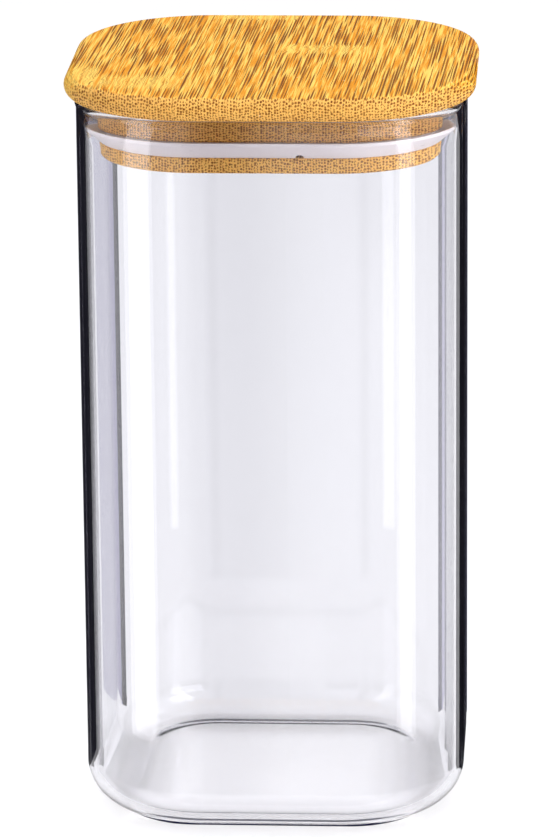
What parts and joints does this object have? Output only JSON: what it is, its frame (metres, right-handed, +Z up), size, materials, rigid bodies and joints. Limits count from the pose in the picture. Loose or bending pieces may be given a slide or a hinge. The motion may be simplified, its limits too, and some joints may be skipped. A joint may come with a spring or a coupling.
{
  "type": "storage canister",
  "caption": "Tall square glass storage canister with rounded corners and a bamboo plug lid that is sealed by a silicone ring",
  "frame": {"origin": "the centre of the jar's flat foot, on the surface that the canister stands on", "axes": "+Z is up, from the foot to the lid. -Y is the front, the side that the picture shows, and +X is to the right. The lid's bamboo grain runs along Y, turned by 2.2 degrees."},
  "size_m": [0.106, 0.106, 0.1973],
  "materials": {
    "clear_glass": "clear, smooth, fire-polished rim",
    "silicone": "translucent, satin",
    "bamboo_board_1": "sanded, oiled bamboo, long grain front to back",
    "bamboo_board_2": "sanded, oiled bamboo, long grain front to back",
    "bamboo_board_3": "sanded, oiled bamboo, long grain front to back",
    "bamboo_board_4": "sanded, oiled bamboo, long grain front to back",
    "bamboo_board_5": "sanded, oiled bamboo, long grain front to back",
    "bamboo_board_6": "sanded, oiled bamboo, long grain front to back",
    "bamboo_upper_1": "sanded bamboo",
    "bamboo_upper_2": "sanded bamboo",
    "bamboo_upper_3": "sanded bamboo",
    "bamboo_upper_4": "sanded bamboo",
    "bamboo_upper_5": "sanded bamboo",
    "bamboo_lower_1": "sanded bamboo",
    "bamboo_lower_2": "sanded bamboo",
    "bamboo_lower_3": "sanded bamboo",
    "bamboo_lower_4": "sanded bamboo",
    "bamboo_lower_5": "sanded bamboo"
  },
  "bodies": {
    "jar": {"glass_jar": "clear_glass"},
    "lid": {"silicone_seal": "silicone", "lid_strip_1": "bamboo_board_1", "lid_strip_2": "bamboo_board_2", "lid_strip_3": "bamboo_board_3", "lid_strip_4": "bamboo_board_4", "lid_strip_5": "bamboo_board_5", "lid_strip_6": "bamboo_board_6", "plug_upper_strip_1": "bamboo_upper_1", "plug_upper_strip_2": "bamboo_upper_2", "plug_upper_strip_3": "bamboo_upper_3", "plug_upper_strip_4": "bamboo_upper_4", "plug_upper_strip_5": "bamboo_upper_5", "plug_lower_strip_1": "bamboo_lower_1", "plug_lower_strip_2": "bamboo_lower_2", "plug_lower_strip_3": "bamboo_lower_3", "plug_lower_strip_4": "bamboo_lower_4", "plug_lower_strip_5": "bamboo_lower_5"}
  },
  "joints": [
    {"name": "lid_lift", "type": "slide", "parent": "jar", "child": "lid", "axis": [0, 0, 1], "range_m": [0, 0.1]}
  ]
}
